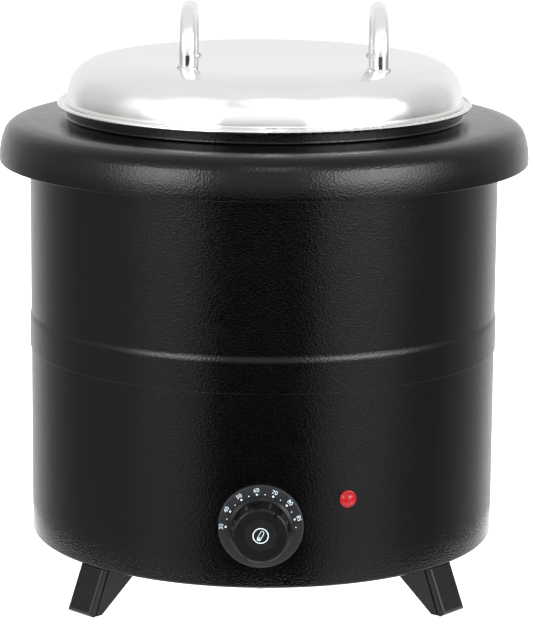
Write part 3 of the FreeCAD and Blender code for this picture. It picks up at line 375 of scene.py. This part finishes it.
def mark_ring():
    nothing_selected()
    bpy.ops.mesh.primitive_torus_add(major_segments=64, minor_segments=6,
                                     major_radius=RING_RADIUS, minor_radius=RING_LINE,
                                     location=MARK_MIDDLE, rotation=(FACING, 0.0, 0.0))
    ring = bpy.context.object
    bpy.ops.object.mode_set(mode="EDIT")
    bpy.ops.mesh.select_all(action="SELECT")
    bpy.ops.transform.resize(value=(1.0, RING_FLATTEN, 1.0), center_override=MARK_MIDDLE)
    bpy.ops.object.mode_set(mode="OBJECT")
    return placed(ring)


def mark_tube():
    """Outline of the thermometer: a flat ring, its upper half drawn out into a tube."""
    nothing_selected()
    bpy.ops.mesh.primitive_cylinder_add(vertices=32, radius=TUBE_OUTSIDE, depth=DOT_DEPTH,
                                        location=MARK_MIDDLE, end_fill_type="NGON",
                                        rotation=(FACING, 0.0, 0.0))
    tube = bpy.context.object
    bpy.ops.object.mode_set(mode="EDIT")
    # The front and the back face are each inset, and the two inner faces become a hole.
    for outermost in (max, min):
        bpy.ops.mesh.select_all(action="DESELECT")
        mesh = bmesh.from_edit_mesh(tube.data)
        outermost(mesh.faces, key=lambda side: side.calc_center_median().z).select_set(True)
        bmesh.update_edit_mesh(tube.data)
        bpy.ops.mesh.inset(thickness=TUBE_OUTSIDE - TUBE_INSIDE)
    bpy.ops.mesh.select_all(action="DESELECT")
    mesh = bmesh.from_edit_mesh(tube.data)
    for side in mesh.faces:
        if len(side.verts) > 4:
            side.select_set(True)
    bpy.ops.mesh.bridge_edge_loops()
    mesh = bmesh.from_edit_mesh(tube.data)
    for vertex in mesh.verts:
        if vertex.co.y > 0:
            vertex.co.y += TUBE_REACH
        vertex.co.y += TUBE_LOW
    bmesh.update_edit_mesh(tube.data)
    bpy.ops.object.mode_set(mode="OBJECT")
    tube.rotation_euler = (FACING, math.radians(MARK_LEAN), 0.0)
    return placed(tube)


# White ring with a slanting bulb thermometer in it.
mark = [mark_ring(), mark_tube()]
mark += [print_dot(size, MARK_MIDDLE + turned_by(MARK_LEAN, along)) for size, along in TUBE_DOTS]
finished(joined(mark), "knob_mark", PRINT, "knob")


# ---------------------------------------------------------------- welds on the lid

WELD_LINE = 1.5 * MM
# How far from a leg the lid's height is taken, and a height above everything to look down from.
WELD_CLEAR = 1.2 * MM
LOOK_DOWN_FROM = 1.0


def weld_bead(x, y, rod):
    """Ground-back bead of weld round the foot of one handle leg."""
    lid = frame["nodes"]["lid_shell"]
    _, spot, _, _ = lid.ray_cast(Vector((x, y - rod - WELD_CLEAR, LOOK_DOWN_FROM)),
                                 Vector((0.0, 0.0, -1.0)))
    nothing_selected()
    bpy.ops.mesh.primitive_torus_add(major_segments=48, minor_segments=10, major_radius=rod,
                                     minor_radius=WELD_LINE, location=(x, y, spot.z))
    bead = bpy.context.object
    bpy.ops.object.mode_set(mode="EDIT")
    mesh = bmesh.from_edit_mesh(bead.data)
    for vertex in mesh.verts:
        turn = math.atan2(vertex.co.y, vertex.co.x)
        # Two waves that don't repeat together make the bead's line uneven.
        swell = 1.0 + 0.12 * math.sin(9.0 * turn) + 0.07 * math.sin(23.0 * turn + 1.0)
        out = math.hypot(vertex.co.x, vertex.co.y) - rod
        vertex.co.x += out * (swell - 1.0) * math.cos(turn)
        vertex.co.y += out * (swell - 1.0) * math.sin(turn)
        vertex.co.z *= swell
    bmesh.update_edit_mesh(bead.data)
    bpy.ops.object.mode_set(mode="OBJECT")
    return placed(bead)


beads = []
for node in ("lid_handle_left", "lid_handle_right"):
    low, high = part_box(node)
    rod = (high.x - low.x) / 2
    middle = (high.x + low.x) / 2
    beads += [weld_bead(middle, low.y + rod, rod), weld_bead(middle, high.y - rod, rod)]
finished(joined(beads), "handle_welds", FINISHES["satin_steel"], "lid", 60.0)


# ---------------------------------------------------------------- studio

FLOOR_SIZE = 44.0
SWEEP_RADIUS = 0.27
SWEEP_HEIGHT = 0.5 * MM


def lit_paper(name, **numbers):
    """White paper with a light of its own."""
    skin = Finish(name)
    skin.set(Roughness=0.9, **numbers)
    skin.feed("Base Color", skin.blend(skin.noise(3.0, 2.0), (0.86, 0.86, 0.86), (0.9, 0.9, 0.9)))
    skin.shader.inputs["Emission Color"].default_value = (1.0, 1.0, 1.0, 1.0)
    return skin.material


def studio_floor():
    """Wide white floor that no reflection shows."""
    nothing_selected()
    bpy.ops.mesh.primitive_plane_add(size=FLOOR_SIZE)
    floor = bpy.context.object
    floor.name = "studio_floor"
    floor.data.materials.append(lit_paper("studio_floor", Specular_IOR_Level=0.1,
                                          Emission_Strength=0.86))
    floor.visible_glossy = False


def studio_sweep():
    """Lit paper close round the feet: only reflections see it, as a pale line along each hem."""
    nothing_selected()
    bpy.ops.mesh.primitive_circle_add(vertices=96, radius=SWEEP_RADIUS, fill_type="NGON",
                                      location=(0.0, 0.0, SWEEP_HEIGHT))
    sweep = bpy.context.object
    sweep.name = "studio_sweep"
    sweep.data.materials.append(lit_paper("studio_sweep", Emission_Strength=0.9))
    sweep.visible_camera = False
    sweep.visible_diffuse = False
    sweep.visible_shadow = False


def studio_sky():
    """White tent behind, two tall soft lights in front and a dark gap between them at the camera."""
    world = bpy.data.worlds.new("studio_sky")
    bpy.context.scene.world = world
    world.use_nodes = True
    nodes, links = world.node_tree.nodes, world.node_tree.links
    nodes.clear()
    output = nodes.new("ShaderNodeOutputWorld")
    background = nodes.new("ShaderNodeBackground")
    links.new(background.outputs["Background"], output.inputs["Surface"])
    direction = nodes.new("ShaderNodeTexCoord").outputs["Generated"]
    split = nodes.new("ShaderNodeSeparateXYZ")
    links.new(direction, split.inputs["Vector"])

    def compute(kind, first, second=0.0):
        return math_node(nodes, links, kind, first, second)

    def curve(value, low, high, stops):
        """Eases between (where, level) stops; a ramp holds up to 1, so it holds tenths."""
        ramp = nodes.new("ShaderNodeValToRGB")
        band = ramp.color_ramp
        band.interpolation = "EASE"
        while len(band.elements) > 1:
            band.elements.remove(band.elements[-1])
        for number, (where, level) in enumerate(stops):
            position = (where - low) / (high - low)
            element = band.elements[0] if number == 0 else band.elements.new(position)
            element.position = position
            element.color = (*[level * 0.1] * 3, 1.0)
        share = compute("DIVIDE", compute("SUBTRACT", value, low), high - low)
        links.new(share, ramp.inputs["Fac"])
        return compute("MULTIPLY", ramp.outputs["Color"], 10.0)

    def glow(azimuth, elevation, tightness, level):
        """Round soft light in one direction."""
        across, up = math.radians(azimuth), math.radians(elevation)
        aim = (math.sin(across) * math.cos(up), -math.cos(across) * math.cos(up), math.sin(up))
        node = nodes.new("ShaderNodeVectorMath")
        node.operation = "DOT_PRODUCT"
        links.new(direction, node.inputs[0])
        node.inputs[1].default_value = aim
        towards = compute("MAXIMUM", node.outputs["Value"], 0.0)
        return compute("MULTIPLY", compute("POWER", towards, tightness), level)

    # Degrees to the right of the camera's side, and the sine of the height above the horizon.
    azimuth = compute("MULTIPLY",
                      compute("ARCTAN2", split.outputs["X"],
                              compute("MULTIPLY", split.outputs["Y"], -1.0)),
                      180.0 / math.pi)
    height = split.outputs["Z"]

    # The tent all round, the two soft lights and how they brighten upwards.
    room = curve(azimuth, -180, 180, [
        (-180, 0.92), (-150, 0.92), (-125, 0.5), (-105, 0.42), (-80, 0.58), (-60, 0.58), (-28, 0.3),
        (-24, 0.0), (22, 0.0), (27, 0.35), (45, 0.5), (61, 0.4), (75, 0.28), (90, 0.32),
        (110, 0.42), (128, 0.6), (150, 1.05), (180, 0.92)])
    strips = curve(azimuth, -180, 180, [
        (-180, 0.0), (-100, 0.0), (-78, 0.06), (-66, 0.25), (-57, 0.8), (-50, 1.0), (-40, 1.0),
        (-32, 0.8), (-24, 0.0), (22, 0.0), (31, 0.7), (40, 1.1), (50, 1.35), (60, 1.25),
        (71, 0.7), (82, 0.2), (95, 0.0), (180, 0.0)])
    rise = curve(height, -1.0, 1.0, [
        (-1.0, 0.1), (-0.34, 0.4), (-0.17, 0.55), (-0.06, 1.0), (0.08, 3.5), (0.22, 7.0),
        (0.42, 9.0), (0.5, 5.5), (0.58, 0.9), (0.9, 0.0), (1.0, 0.0)])
    # The light over the camera, which the lid's front shows, and the tent's roof.
    front = curve(azimuth, -180, 180, [
        (-180, 0.0), (-75, 0.0), (-30, 0.75), (30, 0.75), (75, 0.0), (180, 0.0)])
    above = curve(height, -1.0, 1.0, [
        (-1.0, 0.0), (-0.11, 0.0), (-0.05, 0.75), (0.1, 0.8), (0.42, 0.9), (0.7, 0.1), (1.0, 0.0)])
    dome = curve(height, -1.0, 1.0, [
        (-1.0, 0.0), (-0.10, 0.0), (0.0, 0.28), (0.2, 0.5), (0.7, 0.86), (0.85, 0.92),
        (1.0, 0.94)])

    roof_cover = compute("MULTIPLY", dome, 1.1)
    level = compute("MULTIPLY", strips, rise)
    level = compute("ADD", level, compute("MULTIPLY", front, above))
    level = compute("ADD", level, compute("MULTIPLY", room,
                                          compute("SUBTRACT", 1.0, roof_cover)))
    level = compute("ADD", level, dome)
    level = compute("ADD", level, glow(7.0, 50.0, 90.0, 4.0))
    links.new(level, background.inputs["Strength"])
    background.inputs["Color"].default_value = (1.0, 1.0, 1.0, 1.0)


studio_floor()
studio_sweep()
studio_sky()


# ---------------------------------------------------------------- camera

CAMERA_AZIMUTH = 0.1
CAMERA_REACH = 2.2886
CAMERA_SIDE = 0.0026
CAMERA_HEIGHT = 0.6825
CAMERA_PITCH = 11.9
CAMERA_ROLL = 0.44
CAMERA_LENS = 175.9
CAMERA_SENSOR = 36.0
CAMERA_FARTHEST = 60.0


def camera():
    """Long lens, a little above the kettle and tilted down to it."""
    lens = bpy.data.cameras.new("camera")
    lens.lens = CAMERA_LENS
    lens.sensor_width = CAMERA_SENSOR
    lens.clip_end = CAMERA_FARTHEST
    holder = bpy.data.objects.new("camera", lens)
    holder.matrix_world = (Matrix.Rotation(math.radians(CAMERA_AZIMUTH), 4, "Z")
                           @ Matrix.Translation((CAMERA_SIDE, -CAMERA_REACH, CAMERA_HEIGHT))
                           @ Matrix.Rotation(math.radians(90.0 - CAMERA_PITCH), 4, "X")
                           @ Matrix.Rotation(math.radians(CAMERA_ROLL), 4, "Z"))
    bpy.context.scene.collection.objects.link(holder)
    bpy.context.scene.camera = holder


camera()
scene = bpy.context.scene
scene.view_settings.view_transform = "Standard"
scene.view_settings.look = "None"
